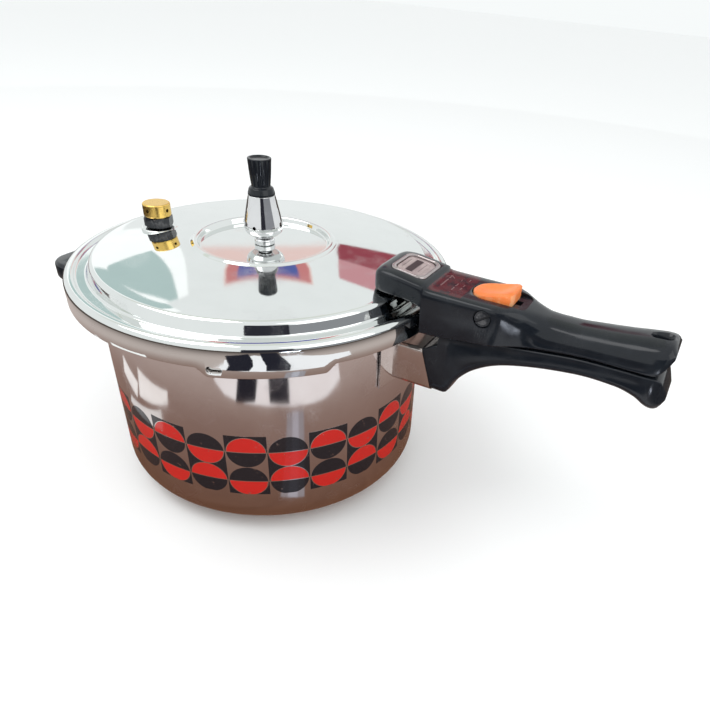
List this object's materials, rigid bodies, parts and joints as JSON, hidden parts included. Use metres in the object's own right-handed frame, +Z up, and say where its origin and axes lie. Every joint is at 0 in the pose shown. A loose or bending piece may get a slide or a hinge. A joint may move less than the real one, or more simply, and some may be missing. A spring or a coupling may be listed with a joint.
{
  "type": "stovetop pressure cooker",
  "caption": "Steel pressure cooker with a turning bayonet lid, long paired handles, a slide latch, a lift-off weight regulator and a sprung safety valve.",
  "frame": {"origin": "centre of the flat base, on the worktop", "axes": "+Z up along the pot's axis, +X from the pot's axis out along the long handles, +Y to the left of the handles"},
  "size_m": [0.4115, 0.24, 0.2075],
  "materials": {
    "pot_steel": "polished stainless steel with a printed red and black band",
    "lid_steel": "mirror-polished stainless steel",
    "small_steel": "bright steel",
    "chrome": "chrome plated, bright",
    "black_bakelite": "black moulded bakelite, glossy",
    "orange_plastic": "orange plastic, satin",
    "brass": "bright brass",
    "silicone": "grey silicone rubber",
    "badge": "dull silver plate, blank"
  },
  "bodies": {
    "pot": {"pot_body": "pot_steel", "base_disc": "pot_steel", "handle_guard": "pot_steel", "pot_handle": "black_bakelite", "pot_handle_screw": "small_steel", "catch_plate": "small_steel", "helper_plate": "pot_steel", "helper_handle": "black_bakelite", "helper_screw_left": "small_steel", "helper_screw_right": "small_steel"},
    "seal": {"sealing_ring": "silicone"},
    "lid": {"lid_shell": "lid_steel", "vent_pipe": "chrome", "vent_nut": "small_steel", "valve_body": "black_bakelite", "valve_cap": "brass", "valve_nut": "small_steel", "valve_spring": "small_steel", "lid_handle_bracket": "small_steel", "lid_handle": "black_bakelite", "lid_handle_cover": "black_bakelite", "handle_bolt": "black_bakelite", "handle_nut": "black_bakelite", "badge_frame": "chrome", "badge_plate": "badge"},
    "plunger": {"valve_plunger": "brass"},
    "latch": {"lock_button": "orange_plastic", "latch_bar": "small_steel", "latch_screw": "small_steel"},
    "weight": {"weight_body": "chrome", "weight_knob": "black_bakelite", "weight_stud": "small_steel"}
  },
  "joints": [
    {"name": "lid_lift", "type": "slide", "parent": "pot", "child": "seal", "axis": [0, 0, 1], "range_m": [0, 0.12]},
    {"name": "lid_turn", "type": "hinge", "parent": "seal", "child": "lid", "pos_m": [0, 0, 0.143], "axis": [0, 0, 1], "range_deg": [-42, 0]},
    {"name": "latch_slide", "type": "slide", "parent": "lid", "child": "latch", "axis": [1, 0, 0], "range_m": [0, 0.007]},
    {"name": "valve_rise", "type": "slide", "parent": "lid", "child": "plunger", "axis": [0, 0, 1], "range_m": [0, 0.0025], "stiffness_N_per_m": 2000, "springref_m": -0.002, "deforming": ["valve_spring"]},
    {"name": "weight_lift", "type": "slide", "parent": "lid", "child": "weight", "axis": [0, 0, 1], "range_m": [0, 0.03]}
  ]
}
